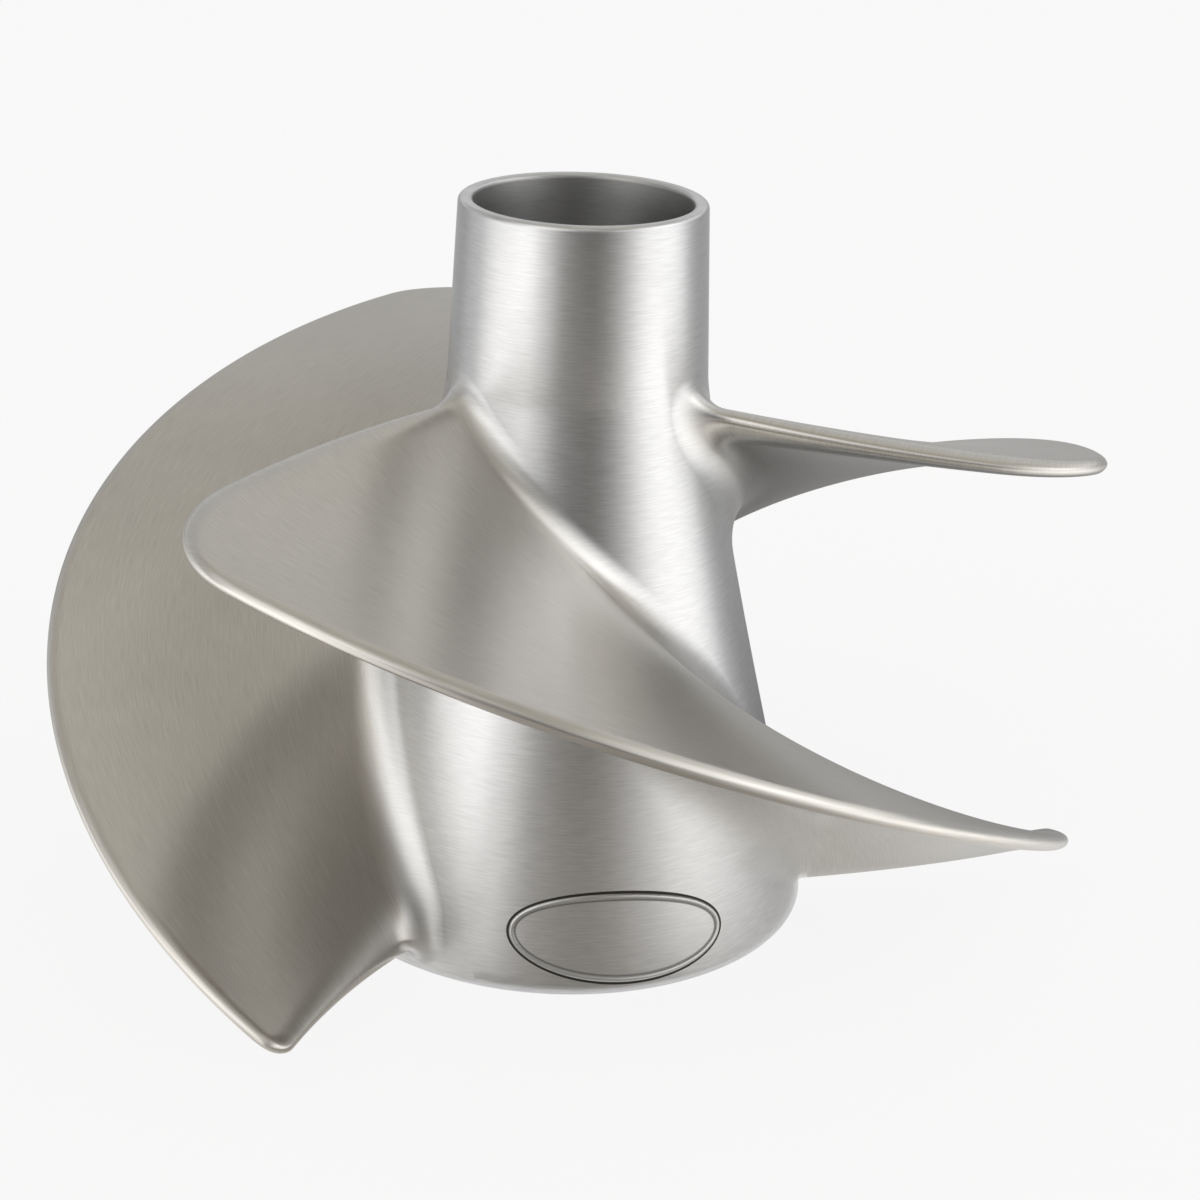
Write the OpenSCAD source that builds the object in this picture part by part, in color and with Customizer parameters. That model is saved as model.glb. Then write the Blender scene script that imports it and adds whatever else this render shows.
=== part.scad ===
// Three blade mixed flow pump impeller, cast in one piece in stainless steel.
// The hub stands on its rear rim at z = 0, and its neck and front socket point up.
// Azimuths are measured from the front (minus Y) towards plus X.

/* [Hub] */
// Height from the rear rim to the front rim
hub_h = 107.6; // [100:0.1:118]
// Outer diameter of the neck at the front rim
neck_d = 35.6; // [34:0.1:38]
// Growth of the neck's radius for each millimetre towards the rear
neck_draft = 0.045; // [0:0.005:0.08]
// Height at which the neck starts to flare
flare_z = 82; // [76:1:90]
// Outer diameter of the hub at its rear rim
hub_d = 75.2; // [70:0.1:80]
// How late the flare grows: 1 is a straight cone
flare_power = 1.2; // [1:0.05:1.4]
// Rounding of the outer edges of both rims
rim_round = 0.7; // [0.3:0.1:1]

/* [Bores] */
// Diameter of the socket in the neck
socket_d = 31.4; // [29:0.1:32]
// Depth of the socket below the front rim
socket_depth = 29; // [20:1:32]
// Chamfer at the mouth of the socket
socket_chamfer = 0.7; // [0.3:0.1:1]
// Minor diameter of the splined drive bore, across the tips of its teeth
spline_d = 20.6; // [18:0.1:22]
// Height of the spline's teeth
spline_tooth_h = 1.2; // [0.8:0.1:1.6]
// Number of spline teeth
spline_teeth = 18; // [12:1:24]
// Length of the splined drive bore
spline_length = 26; // [18:1:30]
// Diameter of the threaded bore for the pump shaft
thread_d = 20; // [16:0.5:22]
// Outer diameter of the threaded boss
boss_d = 34; // [30:1:38]
// How far the boss stands back from the rear rim
boss_recess = 6; // [3:1:12]
// Wall of the hollow rear skirt
skirt_wall = 4.6; // [4:0.1:6]
// Height of the hollow inside the rear skirt
hollow_h = 40; // [30:1:46]

/* [Blades] */
// Number of blades
blade_count = 3; // [3, 4]
// Diameter over the blade tips
tip_d = 155; // [150:0.5:160]
// Blade thickness at the hub
root_t = 4.4; // [3.6:0.1:5.5]
// Blade thickness at the tip
tip_t = 2.4; // [1.8:0.1:3.2]
// Radius of the fillet between a blade's front face and the hub
front_fillet_r = 4.5; // [3:0.5:8]
// Radius of the fillet between a blade's rear face and the hub
rear_fillet_r = 10; // [6:0.5:11]
// Radius of the fillet round the leading edge at the hub
edge_fillet_r = 6; // [4:0.5:7]
// Corner radius where the leading edge meets the tip
lead_corner_r = 16.5; // [8:0.5:20]
// Corner radius where the trailing edge meets the tip
trail_corner_r = 4; // [2:0.5:8]
// Azimuth of the leading edge at the hub
root_start = -58.5; // [-65:0.5:-50]
// Turn of the blade along the hub
root_wrap = 143.5; // [130:0.5:150]
// Azimuth of the leading edge at the tip
tip_start = -44; // [-50:1:-36]
// Turn of the blade along the tip
tip_wrap = 137.5; // [125:0.5:140]
// Height of the leading edge at the hub
root_z = 80; // [74:0.5:82]
// Height of the trailing edge at the hub
root_end_z = 2.6; // [2:0.1:5]
// Height of the leading edge at the tip
tip_z = 75.2; // [70:0.1:80]
// Height of the trailing edge at the tip
tip_end_z = 7.8; // [6:0.1:14]

/* [Hidden] */
steel = "#b9b8b4";
$fn = 96;
overlap = 0.01; // how far one cut reaches into the next
overshoot = 1; // how far a cut reaches past the surface that it opens through

tip_r = tip_d / 2;
neck_r = neck_d / 2;
socket_r = socket_d / 2;
spline_r = spline_d / 2;
pitch_angle = 360 / blade_count;

// The hub's outer radius at a height
flare_gain = (hub_d / 2 - neck_r - neck_draft * hub_h) / pow(flare_z, flare_power);
function hub_r(z) = neck_r + neck_draft * (hub_h - z)
    + flare_gain * pow(max(0, flare_z - z), flare_power);

// Heights along the root and the tip, as a share u of the way from leading to trailing edge
root_early = 0.54;
tip_early = 0.39;
tip_mid = 1;
function root_height(u) = root_z - (root_z - root_end_z) * (root_early * u + (1 - root_early) * pow(u, 3));
function tip_height(u) = tip_z
    - (tip_z - tip_end_z) * (tip_early * u + tip_mid * u * u + (1 - tip_early - tip_mid) * pow(u, 3));
function root_slope(u) = -(root_z - root_end_z) * (root_early + 3 * (1 - root_early) * u * u);
function tip_slope(u) = -(tip_z - tip_end_z)
    * (tip_early + 2 * tip_mid * u + 3 * (1 - tip_early - tip_mid) * u * u);

function mix(a, b, t) = a + (b - a) * t;
function unit(v) = v / norm(v);
deg_arc = PI / 180;

// A point at a radius, an azimuth and a height
function place(r, azimuth, z) = [r * sin(azimuth), -r * cos(azimuth), z];

// One blade section is a closed loop of points. Sample 0 is the leading edge, sample chord_n the
// trailing edge, and the loop comes back along the rear face.
chord_n = 36;
loop_n = 2 * chord_n;
nose_n = 3;
lead_nose = 1.8; // length of the leading edge's rounding, as a share of the thickness
trail_nose = 1.2; // the same at the trailing edge
tip_nose = 0.8; // and at the tip
function side_of(i) = i <= chord_n ? 1 : -1;
function sample_of(i) = i <= chord_n ? i : loop_n - i;
function from_end(j) = min(j, chord_n - j);
function nose_angle(j) = min(90, 90 * from_end(j) / nose_n);
function spread(t) = (t + (1 - cos(180 * t)) / 2) / 2;
function chord_share(j, from, to, thick) =
    j <= nose_n ? from + lead_nose * thick * (1 - cos(nose_angle(j)))
    : j >= chord_n - nose_n ? to - trail_nose * thick * (1 - cos(nose_angle(j)))
    : mix(from + lead_nose * thick, to - trail_nose * thick,
        spread((j - nose_n) / (chord_n - 2 * nose_n)));

// Lengths of the blade along the hub and along the tip
length_steps = 24;
function total(v, i = 0) = i < len(v) ? v[i] + total(v, i + 1) : 0;
function root_place(u) = let (z = root_height(u)) place(hub_r(z), root_start + root_wrap * u, z);
function tip_place(u) = place(tip_r, tip_start + tip_wrap * u, tip_height(u));
root_length = total([for (i = [1 : length_steps])
    norm(root_place(i / length_steps) - root_place((i - 1) / length_steps))]);
tip_length = total([for (i = [1 : length_steps])
    norm(tip_place(i / length_steps) - tip_place((i - 1) / length_steps))]);

// How far a rounded corner of radius r sets an edge back, at a distance inside the tip
function corner_setback(r, inside) = inside >= r ? 0 : r - sqrt(r * r - pow(r - inside, 2));

// A point of the blade's skin, as [radius, azimuth, height, direction out of the section].
// span is 0 at the hub and 1 at the tip, inside is the distance from the tip in millimetres,
// and fullness thins the section where the tip edge is rounded.
function skin(i, span, inside, fullness = 1) =
    let (
        j = sample_of(i),
        side = side_of(i),
        chord = mix(root_length, tip_length, span),
        thick = mix(root_t, tip_t, span),
        u = chord_share(j, corner_setback(lead_corner_r, inside) / chord,
            1 - corner_setback(trail_corner_r, inside) / chord, thick / chord),
        azimuth = mix(root_start + root_wrap * u, tip_start + tip_wrap * u, span),
        z = mix(root_height(u), tip_height(u), span),
        r = mix(hub_r(z), tip_r, span),
        along = unit([r * deg_arc * mix(root_wrap, tip_wrap, span),
            mix(root_slope(u), tip_slope(u), span)]),
        up = [-along[1], along[0]],
        half = thick / 2 * sin(nose_angle(j)) * fullness,
        end = j < chord_n / 2 ? -1 : 1,
        out = end * cos(nose_angle(j)) * along + side * sin(nose_angle(j)) * up,
        new_z = z + side * half * up[1]
    )
    [mix(hub_r(new_z), tip_r, span), azimuth + side * half * up[0] / (r * deg_arc), new_z, out];

// The free part of the blade: the rounded tip edge, the corners, and the span down to the fillet
tip_angles = [20, 50, 90];
corner_stations = [for (share = [0.18, 0.36, 0.64, 0.97]) share * lead_corner_r];
inner_steps = 3;
function reach(i) = tip_r - skin(i, 0, tip_r)[0];
function outer_ring(inside, fullness) = [for (i = [0 : loop_n - 1])
    let (p = skin(i, 1 - inside / reach(i), inside, fullness)) place(p[0], p[1], p[2])];
function inner_ring(t) = [for (i = [0 : loop_n - 1])
    let (
        outer = corner_stations[len(corner_stations) - 1],
        inside = mix(outer, reach(i) - fillet_at(i), t),
        p = skin(i, 1 - inside / reach(i), inside)
    )
    place(p[0], p[1], p[2])];

// The fillet between blade and hub, which runs out towards the rear rim
seam_z = rim_round;
fillet_room = 0.55;
function fillet_at(i) = min(
    mix(edge_fillet_r, side_of(i) > 0 ? front_fillet_r : rear_fillet_r, sin(nose_angle(sample_of(i)))),
    fillet_room * (skin(i, 0, tip_r)[2] - seam_z));
fillet_steps = 4;
function fillet_point(i, angle) =
    let (
        radius = fillet_at(i),
        span = radius * (1 - sin(angle)) / reach(i),
        p = skin(i, span, tip_r),
        flare = radius * (1 - cos(angle)),
        z = p[2] + flare * p[3][1]
    )
    [mix(hub_r(z), tip_r, span), p[1] + flare * p[3][0] / (p[0] * deg_arc), z];
function fillet_ring(angle) = [for (i = [0 : loop_n - 1])
    let (p = fillet_point(i, angle)) place(p[0], p[1], p[2])];

// The hub's skin round one blade reaches to a border that the next blade's skin shares: along the
// neck, down the middle of the passage, along the rear rim, and up the middle of the last passage
ring_n = 14;
passage_n = chord_n - ring_n;
border_shift = 1;
neck_seam_z = mix(root_z, hub_h, 0.471);
front_lead = 0.625 * pitch_angle; // from a blade's leading edge round to the border
rear_lead = 0.15 * pitch_angle; // from a blade's trailing edge round to the border
passage_drop = 0.125 * root_z; // how far the border sags between the blades
seam_ease = 8; // how fast the border leaves the neck seam
function passage_point(t) = [
    root_start + root_wrap * t + mix(front_lead, rear_lead, t),
    mix(root_height(t), seam_z + (root_height(t) - root_end_z), t)
        + (neck_seam_z - root_z) * pow(1 - t, seam_ease)
        - passage_drop * (1 - t) * (1 - pow(1 - t, seam_ease))];
front_from = root_start + front_lead - pitch_angle;
rear_from = root_start + root_wrap + rear_lead;
function border_point(b) =
    b < ring_n ? [front_from + pitch_angle * b / ring_n, neck_seam_z]
    : b < chord_n ? passage_point((b - ring_n) / passage_n)
    : b < chord_n + ring_n ? [rear_from - pitch_angle * (b - chord_n) / ring_n, seam_z]
    : passage_point((loop_n - b) / passage_n) - [pitch_angle, 0];
hub_shares = [0.25, 0.6, 1];
function hub_ring(share) = [for (i = [0 : loop_n - 1])
    let (
        foot = fillet_point(i, 90),
        goal = border_point((i + border_shift) % loop_n),
        azimuth = mix(foot[1], goal[0], share),
        z = mix(foot[2], goal[1], share)
    )
    place(hub_r(z), azimuth, z)];

blade_rings = concat(
    [for (a = tip_angles) outer_ring(tip_nose * tip_t * (1 - cos(a)), sin(a))],
    [for (inside = corner_stations) outer_ring(inside, 1)],
    [for (k = [1 : inner_steps - 1]) inner_ring(k / inner_steps)],
    [for (k = [0 : fillet_steps]) fillet_ring(90 * k / fillet_steps)],
    [for (share = hub_shares) hub_ring(share)]);
ring_count = len(blade_rings);
blade_points = [for (ring = blade_rings) each ring];

// Triangles between neighbouring rings of equal count, numbered from a first point
function bands(rings, count, first = 0) = [for (k = [0 : rings - 2], i = [0 : count - 1])
    let (a = first + k * count + i, b = first + k * count + (i + 1) % count, c = b + count, d = a + count)
    each [[a, c, b], [a, d, c]]];
function flipped(faces) = [for (f = faces) [f[2], f[1], f[0]]];
function shifted(faces, by) = [for (f = faces) [for (i = f) i + by]];
function turned(points, angle) = [for (p = points)
    [p[0] * cos(angle) - p[1] * sin(angle), p[0] * sin(angle) + p[1] * cos(angle), p[2]]];

// The narrow land between the two rounded sides of the tip edge
tip_land = [for (i = [0 : chord_n - 1])
    let (a = i, b = i + 1, c = (loop_n - b) % loop_n, d = (loop_n - a) % loop_n)
    each concat(b == c ? [] : [[a, b, c]], a == d ? [] : [[a, c, d]])];
blade_faces = concat(bands(ring_count, loop_n), tip_land);

// Rings that close the neck over the front rim and the hub over the rear rim
round_steps = 3;
rim_count = blade_count * ring_n;
function rim_ring(r, z, from) = [for (i = [0 : rim_count - 1]) place(r, from + 360 * i / rim_count, z)];
front_rings = concat(
    [rim_ring(hub_r(neck_seam_z), neck_seam_z, front_from)],
    [for (k = [0 : round_steps]) let (a = 90 * k / round_steps)
        rim_ring(hub_r(hub_h - rim_round) - rim_round * (1 - cos(a)),
            hub_h - rim_round * (1 - sin(a)), front_from)]);
rear_rings = [for (k = [0 : round_steps]) let (a = 90 * k / round_steps)
    rim_ring(hub_r(seam_z) - rim_round * (1 - cos(a)), seam_z - rim_round * sin(a),
        rear_from - pitch_angle)];

blade_size = len(blade_points);
front_size = len(front_rings) * rim_count;
rear_size = len(rear_rings) * rim_count;
front_first = blade_count * blade_size;
rear_first = front_first + front_size;
last_front = front_first + front_size - rim_count;
last_rear = rear_first + rear_size - rim_count;

// The cast outside: blades, fillets, hub and neck as one closed skin
module casting() {
    polyhedron(
        points = concat(
            [for (k = [0 : blade_count - 1]) each turned(blade_points, k * pitch_angle)],
            [for (ring = front_rings) each ring],
            [for (ring = rear_rings) each ring]),
        faces = concat(
            [for (k = [0 : blade_count - 1]) each shifted(blade_faces, k * blade_size)],
            bands(len(front_rings), rim_count, front_first),
            flipped(bands(len(rear_rings), rim_count, rear_first)),
            [[for (i = [rim_count - 1 : -1 : 0]) last_front + i]],
            [[for (i = [0 : rim_count - 1]) last_rear + i]]));
}

// The socket in the neck, with a chamfered mouth
module front_socket() {
    floor_z = hub_h - socket_depth;
    mouth_z = hub_h - socket_chamfer;
    rotate_extrude()
        polygon([[0, floor_z], [socket_r, floor_z], [socket_r, mouth_z],
            [socket_r + socket_chamfer, hub_h], [socket_r + socket_chamfer, hub_h + overshoot],
            [0, hub_h + overshoot]]);
}

// The drive bore under the socket, with straight sided spline grooves between its teeth.
// Half the width of a groove at its mouth and at its floor, as a share of the tooth spacing
groove_mouth = 0.31;
groove_floor = 0.2;
spline_end_z = hub_h - socket_depth - spline_length;
module spline_bore() {
    step = 360 / spline_teeth;
    floor_r = spline_r + spline_tooth_h;
    outline = [for (k = [0 : spline_teeth - 1])
        each [for (edge = [[spline_r, -groove_mouth], [floor_r, -groove_floor],
                [floor_r, groove_floor], [spline_r, groove_mouth]])
            let (angle = (k + edge[1]) * step) edge[0] * [cos(angle), sin(angle)]]];
    translate([0, 0, spline_end_z])
        linear_extrude(spline_length + overshoot)
            polygon(outline);
}

// The bore through the rear boss that takes the pump shaft's thread
thread_r = thread_d / 2;
thread_chamfer = 1.2;
module thread_bore() {
    top_z = spline_end_z + overlap;
    rotate_extrude()
        polygon([[0, 0], [thread_r + thread_chamfer, 0], [thread_r + thread_chamfer, boss_recess],
            [thread_r, boss_recess + thread_chamfer], [thread_r, top_z], [0, top_z]]);
}

// The hollow between the rear boss and the skirt, with a round roof
hollow_steps = 8;
module rear_hollow() {
    boss_r = boss_d / 2;
    roof_h = (hub_r(hollow_h) - skirt_wall - boss_r) / 2;
    spring_z = hollow_h - roof_h;
    wall = [for (k = [0 : hollow_steps]) let (z = spring_z * k / hollow_steps)
        [hub_r(z) - skirt_wall, z]];
    half_w = (hub_r(spring_z) - skirt_wall - boss_r) / 2;
    roof = [for (k = [1 : hollow_steps]) let (a = 180 * k / hollow_steps)
        [boss_r + half_w * (1 + cos(a)), spring_z + roof_h * sin(a)]];
    rotate_extrude()
        polygon(concat([[0, -overshoot], [hub_r(0) - skirt_wall, -overshoot]], wall, roof,
            [[boss_r, boss_recess], [0, boss_recess]]));
}

module impeller() {
    color(steel)
        difference() {
            casting();
            front_socket();
            spline_bore();
            thread_bore();
            rear_hollow();
        }
}

impeller();
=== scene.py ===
"""Three blade mixed flow pump impeller, cast in stainless steel, ground and brushed.

Sizes are in millimetres and degrees, and each mesh is turned to metres when it is whole.
Azimuths are measured round the axis from the front (minus Y) towards plus X.
"""

import math
from functools import lru_cache

import bmesh
import bpy
from mathutils import Matrix, Vector


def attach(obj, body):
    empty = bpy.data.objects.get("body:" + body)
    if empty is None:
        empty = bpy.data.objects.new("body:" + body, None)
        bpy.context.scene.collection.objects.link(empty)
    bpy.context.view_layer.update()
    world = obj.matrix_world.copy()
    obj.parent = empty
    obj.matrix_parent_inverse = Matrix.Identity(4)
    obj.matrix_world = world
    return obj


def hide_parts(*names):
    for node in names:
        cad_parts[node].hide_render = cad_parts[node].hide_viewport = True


MM = 0.001

# Hub
HUB_H = 107.6
NECK_R = 17.8
NECK_DRAFT = 0.045
FLARE_Z = 82.0
HUB_R = 37.6
FLARE_POWER = 1.2
RIM_ROUND = 0.7

# Bores
SOCKET_R = 15.7
SOCKET_DEPTH = 29.0
SOCKET_CHAMFER = 0.7
SPLINE_R = 10.3
SPLINE_TOOTH_H = 1.2
SPLINE_TEETH = 18
SPLINE_LENGTH = 26.0
THREAD_R = 10.0
THREAD_H = 1.35
THREAD_PITCH = 2.5
THREAD_CHAMFER = 1.2
# Half widths of the thread's crest and foot, as shares of its pitch
THREAD_FLAT, THREAD_FOOT = 0.1, 0.4
BOSS_R = 17.0
BOSS_RECESS = 6.0
SKIRT_WALL = 4.6
HOLLOW_H = 40.0
# Small roundings: the socket's corner, the rim's inner lip and the boss's edge
SOCKET_CORNER, SKIRT_LIP, BOSS_ROUND = 0.4, 0.4, 0.6
# Within this radius all is bore, which is cut and not brushed, and so a little duller
BORES_R, BORE_DULLNESS = SOCKET_R + 0.1, 0.4
# One spline tooth, as shares of the tooth's pitch and of its depth
SPLINE_TOOTH = [
    (-0.34, 0), (-0.27, 0.15), (-0.22, 1), (-0.1, 1),
    (0.1, 1), (0.22, 1), (0.27, 0.15), (0.34, 0),
]

# Blades, each value at the hub and at the tip where there are two
BLADE_COUNT = 3
PITCH_ANGLE = 360 / BLADE_COUNT
TIP_R = 77.37
ROOT_T, TIP_T = 4.4, 2.4
# Fillets into the hub, each face's at the start and where it is full, and the shares of the root
# between which it grows
FRONT_FILLET, FRONT_GROWS = (3.0, 5.5), (0.35, 0.75)
REAR_FILLET, REAR_GROWS = (5.0, 10.0), (0.0, 0.4)
EDGE_FILLET_R = 6.0
# The fillet that the hub has room for, as a share of the height above the rear rim
FILLET_ROOM = 0.55
LEAD_CORNER_R, TRAIL_CORNER_R = 16.5, 4.0
ROOT_START, ROOT_WRAP = -58.5, 143.5
TIP_START, TIP_WRAP = -44.0, 137.5
ROOT_Z, ROOT_END_Z, ROOT_EARLY = 80.0, 2.6, 0.54
TIP_Z, TIP_END_Z, TIP_EARLY = 75.2, 7.8, 0.39
# Where a blade's skin ends on the hub: the turn from its leading and its trailing edge round to
# that border, how far it sags between the blades, and how fast it leaves the neck's seam
FRONT_LEAD, REAR_LEAD = 75.0, 18.0
PASSAGE_DROP = 10.0
SEAM_EASE = 8
NECK_SEAM_Z = 93.0
# Length of a rounded edge, as a share of the thickness
LEAD_NOSE, TRAIL_NOSE, TIP_NOSE = 1.8, 1.2, 0.8

# The blade's section is counted in stations from its leading edge to its trailing edge, the first
# and last NOSE of them round the edges. The hub's border is counted in the same stations.
STATIONS = 36
NOSE = 3
RING_STATIONS = 14
BORDER_SHIFT = 1
STEPS_PER_STATION = 4
LOOP_STEPS = 2 * STATIONS * STEPS_PER_STATION

# Mesh rows of a blade sheet, from the tip's edge to the border on the hub
TIP_ROWS, CORNER_ROWS, SPAN_ROWS, FILLET_ROWS, HUB_ROWS = 8, 16, 20, 12, 20
SHEET_ROWS = TIP_ROWS + CORNER_ROWS + SPAN_ROWS + FILLET_ROWS + HUB_ROWS
TURNED_STEPS = BLADE_COUNT * RING_STATIONS * STEPS_PER_STATION
# How the rows crowd towards the tip and towards the fillet
CORNER_EASE, HUB_EASE = 1.5, 1.3
LENGTH_STEPS = 24
SPLINE_ROWS = 6
THREAD_ROWS_PER_PITCH = 5
# How close two points are that count as one: in a search, and in the last weld
NEAR, WELD = 1e-3, 1e-4

# The map that steers the brushing: a blade's span, a fillet's length over its radius, and how far
# the hub counts beyond it
MAP_SPAN, MAP_FILLET, MAP_HUB = 60.0, 1.57, 30.0

# The bare oval plate on the front of the hub
PLATE_AZIMUTH, PLATE_Z = 15.4, 8.15
PLATE_HALF_W, PLATE_HALF_H = 16.5, 6.45
PLATE_TILT = -3.8
# Its rings: how far inside the outline, how high off the hub, and how much dull cast skin and
# painted shade darken them. This paints shade in the groove and along the rim's inner foot
PLATE_RINGS = [
    (-0.22, -0.6, 1), (-0.22, 0.05, 1), (0.1, 0.05, 1), (0.18, 0.16, 0.3),
    (0.32, 0.27, 0), (0.54, 0.32, 0), (0.76, 0.27, 0), (0.9, 0.17, 0.2),
    (1.0, 0.1, 0.6), (1.12, 0.08, 0.6), (1.28, 0.08, 0), (2.0, 0.08, 0),
    (3.2, 0.08, 0), (4.4, 0.08, 0), (5.6, 0.08, 0),
]


def mix(a, b, share):
    """The value that lies a share of the way from a to b."""
    return a + (b - a) * share


def sin(degrees):
    return math.sin(math.radians(degrees))


def cos(degrees):
    return math.cos(math.radians(degrees))


def place(r, azimuth, z):
    """The point at a radius, an azimuth and a height."""
    return Vector((r * sin(azimuth), -r * cos(azimuth), z))


FLARE_GAIN = (HUB_R - NECK_R - NECK_DRAFT * HUB_H) / FLARE_Z**FLARE_POWER


def hub_r(z):
    """The hub's outer radius at a height."""
    return NECK_R + NECK_DRAFT * (HUB_H - z) + FLARE_GAIN * max(0.0, FLARE_Z - z) ** FLARE_POWER


def root_height(u):
    """Height of the blade's root line, u of the way from the leading to the trailing edge."""
    return ROOT_Z - (ROOT_Z - ROOT_END_Z) * (ROOT_EARLY * u + (1 - ROOT_EARLY) * u**3)


def tip_height(u):
    """Height of the blade's tip line."""
    return TIP_Z - (TIP_Z - TIP_END_Z) * (TIP_EARLY * u + u**2 - TIP_EARLY * u**3)


def root_slope(u):
    """How fast the root line's height changes with u."""
    return -(ROOT_Z - ROOT_END_Z) * (ROOT_EARLY + 3 * (1 - ROOT_EARLY) * u**2)


def tip_slope(u):
    """How fast the tip line's height changes with u."""
    return -(TIP_Z - TIP_END_Z) * (TIP_EARLY + 2 * u - 3 * TIP_EARLY * u**2)


def line_length(point_at):
    """Length of a line, from its points at even shares."""
    points = [point_at(k / LENGTH_STEPS) for k in range(LENGTH_STEPS + 1)]
    return sum((b - a).length for a, b in zip(points, points[1:]))


ROOT_LENGTH = line_length(
    lambda u: place(hub_r(root_height(u)), ROOT_START + ROOT_WRAP * u, root_height(u))
)
TIP_LENGTH = line_length(lambda u: place(TIP_R, TIP_START + TIP_WRAP * u, tip_height(u)))


def nose_angle(station):
    """0 at the blade's edges and 90 on its faces."""
    return min(90.0, 90.0 * min(station, STATIONS - station) / NOSE)


def chord_share(station, start, end, thick):
    """Place along the section of a station, with the rounded edges at both ends."""
    lead, trail = LEAD_NOSE * thick, TRAIL_NOSE * thick
    if station <= NOSE:
        return start + lead * (1 - cos(nose_angle(station)))
    if station >= STATIONS - NOSE:
        return end - trail * (1 - cos(nose_angle(station)))
    even = (station - NOSE) / (STATIONS - 2 * NOSE)
    eased = (even + (1 - cos(180 * even)) / 2) / 2
    return mix(start + lead, end - trail, eased)


def corner_setback(radius, inside):
    """How far a rounded corner sets an edge back, at a distance inside the tip."""
    if inside >= radius:
        return 0.0
    return radius - math.sqrt(radius**2 - (radius - inside) ** 2)


class SkinPoint:
    """A point on one blade's skin: how far round the section, up the span and inside the tip."""

    def __init__(self, turn, span, inside, fullness=1.0):
        self.station = 2 * STATIONS * (turn if turn <= 0.5 else 1 - turn)
        self.side = 1 if turn <= 0.5 else -1
        chord = mix(ROOT_LENGTH, TIP_LENGTH, span)
        thick = mix(ROOT_T, TIP_T, span)
        self.u = chord_share(
            self.station,
            corner_setback(LEAD_CORNER_R, inside) / chord,
            1 - corner_setback(TRAIL_CORNER_R, inside) / chord,
            thick / chord,
        )
        azimuth = mix(ROOT_START + ROOT_WRAP * self.u, TIP_START + TIP_WRAP * self.u, span)
        z = mix(root_height(self.u), tip_height(self.u), span)
        r = mix(hub_r(z), TIP_R, span)
        along = Vector(
            (
                r * math.radians(mix(ROOT_WRAP, TIP_WRAP, span)),
                mix(root_slope(self.u), tip_slope(self.u), span),
            )
        ).normalized()
        up = Vector((-along.y, along.x))
        angle = nose_angle(self.station)
        half = self.side * thick / 2 * sin(angle) * fullness
        end = -1 if self.station < STATIONS / 2 else 1
        self.outward = end * cos(angle) * along + self.side * sin(angle) * up
        self.z = z + half * up.y
        self.azimuth = azimuth + math.degrees(half * up.x / r)
        self.r = mix(hub_r(self.z), TIP_R, span)
        # Distance round the section from the leading edge, over one face and back under the other
        start = corner_setback(LEAD_CORNER_R, inside)
        stop = chord - corner_setback(TRAIL_CORNER_R, inside)
        round_edges = sin(angle) if self.station < STATIONS / 2 else 2 - sin(angle)
        self.along_mm = self.u * chord - start + thick / 2 * round_edges
        if self.side < 0:
            self.along_mm = 2 * (stop - start + thick) - self.along_mm

    def point(self):
        return place(self.r, self.azimuth, self.z)


@lru_cache(maxsize=None)
def reach(turn):
    """Distance from the hub to the tip, at a place round the section."""
    return TIP_R - SkinPoint(turn, 0, TIP_R).r


@lru_cache(maxsize=None)
def fillet_at(turn):
    """Fillet radius at the hub. It runs out towards the rear rim, but not on the front face, where
    the fillet spreads away from the rim."""
    foot = SkinPoint(turn, 0, TIP_R)
    radii, (start, full) = FRONT_FILLET, FRONT_GROWS
    if foot.side < 0:
        radii, (start, full) = REAR_FILLET, REAR_GROWS
    grown = min(1.0, max(0.0, (foot.u - start) / (full - start)))
    face_r = mix(*radii, grown * grown * (3 - 2 * grown))
    on_face = sin(nose_angle(foot.station))
    room = FILLET_ROOM * (foot.z - RIM_ROUND)
    if foot.side > 0:
        room += max(FRONT_FILLET) * on_face
    return min(mix(EDGE_FILLET_R, face_r, on_face), room)


def fillet_point(turn, angle):
    """Azimuth and height on the fillet, whose angle is 0 on the blade and 90 on the hub."""
    radius = fillet_at(turn)
    span = radius * (1 - sin(angle)) / reach(turn)
    skin = SkinPoint(turn, span, TIP_R)
    flare = radius * (1 - cos(angle))
    azimuth = skin.azimuth + math.degrees(flare * skin.outward.x / skin.r)
    z = skin.z + flare * skin.outward.y
    return azimuth, z, mix(hub_r(z), TIP_R, span)


def passage_point(share):
    """Azimuth and height on the line down the middle of the passage behind a blade."""
    late = (1 - share) ** SEAM_EASE
    azimuth = ROOT_START + ROOT_WRAP * share + mix(FRONT_LEAD, REAR_LEAD, share)
    z = mix(root_height(share), RIM_ROUND + root_height(share) - ROOT_END_Z, share)
    return azimuth, z + (NECK_SEAM_Z - ROOT_Z) * late - PASSAGE_DROP * (1 - share) * (1 - late)


FRONT_FROM = ROOT_START + FRONT_LEAD - PITCH_ANGLE
REAR_FROM = ROOT_START + ROOT_WRAP + REAR_LEAD


def border_point(station):
    """Azimuth and height on the border that a blade's skin shares with its neighbours."""
    down = STATIONS - RING_STATIONS
    if station < RING_STATIONS:
        return FRONT_FROM + PITCH_ANGLE * station / RING_STATIONS, NECK_SEAM_Z
    if station < STATIONS:
        return passage_point((station - RING_STATIONS) / down)
    if station < STATIONS + RING_STATIONS:
        return REAR_FROM - PITCH_ANGLE * (station - STATIONS) / RING_STATIONS, RIM_ROUND
    azimuth, z = passage_point((2 * STATIONS - station) / down)
    return azimuth - PITCH_ANGLE, z


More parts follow.
